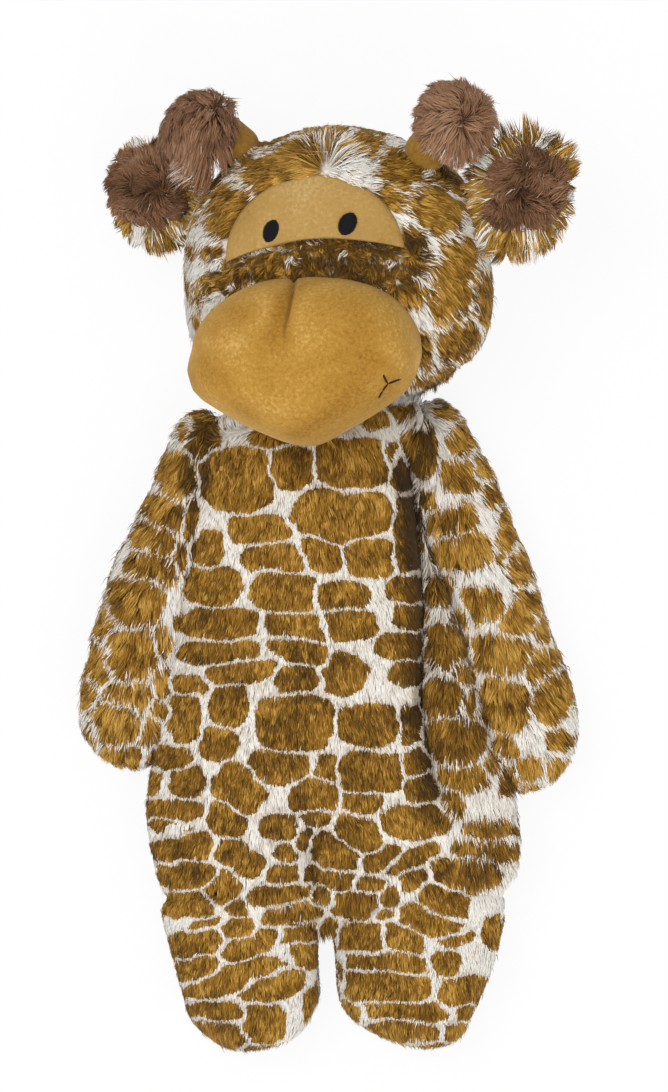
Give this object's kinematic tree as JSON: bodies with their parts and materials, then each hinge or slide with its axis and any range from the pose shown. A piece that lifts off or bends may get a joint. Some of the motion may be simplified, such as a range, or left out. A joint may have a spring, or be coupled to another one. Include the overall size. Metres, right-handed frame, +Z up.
{
  "type": "plush giraffe",
  "caption": "Floppy stuffed giraffe in patched long-pile plush, lying on its back, with a velour muzzle and forehead, tufted horns, round ears and limbs that swing at their seams.",
  "frame": {"origin": "on the surface that the toy lies on, under the middle of its outline", "axes": "+Y towards the horns, +Z up out of the face, +X to the viewer's right"},
  "size_m": [0.2312, 0.4482, 0.1317],
  "materials": {
    "giraffe_plush": "giraffe-print plush, brown patches between cream lines, about 10 mm pile",
    "tan_velour": "short-nap tan velour",
    "brown_long_pile": "long curly brown pile",
    "black_thread": "black satin-stitched embroidery thread",
    "white_fibrefill": "white polyester fibre filling"
  },
  "bodies": {
    "body": {"body_cover": "giraffe_plush", "body_stuffing": "white_fibrefill"},
    "neck": {"neck_cover": "giraffe_plush", "neck_stuffing": "white_fibrefill"},
    "head": {"head_cover": "giraffe_plush", "head_stuffing": "white_fibrefill", "forehead_patch": "tan_velour", "left_eye": "black_thread", "right_eye": "black_thread", "muzzle_cover": "tan_velour", "muzzle_stuffing": "white_fibrefill", "mouth_stitch": "black_thread"},
    "left_horn": {"left_horn_cover": "tan_velour", "left_horn_stuffing": "white_fibrefill", "left_horn_tip": "brown_long_pile"},
    "left_ear": {"left_ear_back": "giraffe_plush", "left_ear_front": "brown_long_pile"},
    "left_arm": {"left_arm_cover": "giraffe_plush", "left_arm_stuffing": "white_fibrefill"},
    "left_leg": {"left_leg_cover": "giraffe_plush", "left_leg_stuffing": "white_fibrefill"},
    "right_horn": {"right_horn_cover": "tan_velour", "right_horn_stuffing": "white_fibrefill", "right_horn_tip": "brown_long_pile"},
    "right_ear": {"right_ear_back": "giraffe_plush", "right_ear_front": "brown_long_pile"},
    "right_arm": {"right_arm_cover": "giraffe_plush", "right_arm_stuffing": "white_fibrefill"},
    "right_leg": {"right_leg_cover": "giraffe_plush", "right_leg_stuffing": "white_fibrefill"}
  },
  "joints": [
    {"name": "neck_tilt", "type": "hinge", "parent": "body", "child": "neck", "pos_m": [-0.00344, 0.08048, 0.027], "axis": [0, 0, 1], "range_deg": [-20, 20]},
    {"name": "neck_nod", "type": "hinge", "parent": "neck", "child": "head", "pos_m": [-0.00344, 0.08048, 0.027], "axis": [1, 0, 0], "range_deg": [-25, 25]},
    {"name": "left_shoulder", "type": "hinge", "parent": "body", "child": "left_arm", "pos_m": [-0.05544, 0.06148, 0.0175], "axis": [0, 0, -1], "range_deg": [0, 100]},
    {"name": "left_hip", "type": "hinge", "parent": "body", "child": "left_leg", "pos_m": [-0.04194, -0.15102, 0.0445], "axis": [-1, 0, 0], "range_deg": [0, 90]},
    {"name": "left_horn_bend", "type": "hinge", "parent": "head", "child": "left_horn", "pos_m": [-0.04125, 0.19423, 0.05531], "axis": [0.6254, 0.7585, 0.183], "range_deg": [-25, 30], "stiffness_Nm_per_rad": 0.04},
    {"name": "left_ear_flop", "type": "hinge", "parent": "head", "child": "left_ear", "pos_m": [-0.06258, 0.15958, 0.02691], "axis": [0.3029, 0.9477, 0.1008], "range_deg": [-20, 60], "stiffness_Nm_per_rad": 0.03},
    {"name": "right_shoulder", "type": "hinge", "parent": "body", "child": "right_arm", "pos_m": [0.04706, 0.06698, 0.0175], "axis": [0, 0, 1], "range_deg": [0, 100]},
    {"name": "right_hip", "type": "hinge", "parent": "body", "child": "right_leg", "pos_m": [0.03906, -0.15102, 0.0445], "axis": [-1, 0, 0], "range_deg": [0, 90]},
    {"name": "right_horn_bend", "type": "hinge", "parent": "head", "child": "right_horn", "pos_m": [0.04505, 0.19038, 0.08299], "axis": [0.6674, -0.7266, 0.163], "range_deg": [-25, 30], "stiffness_Nm_per_rad": 0.04},
    {"name": "right_ear_flop", "type": "hinge", "parent": "head", "child": "right_ear", "pos_m": [0.07147, 0.15365, 0.08038], "axis": [0.1826, -0.9828, 0.0281], "range_deg": [-20, 60], "stiffness_Nm_per_rad": 0.03}
  ]
}
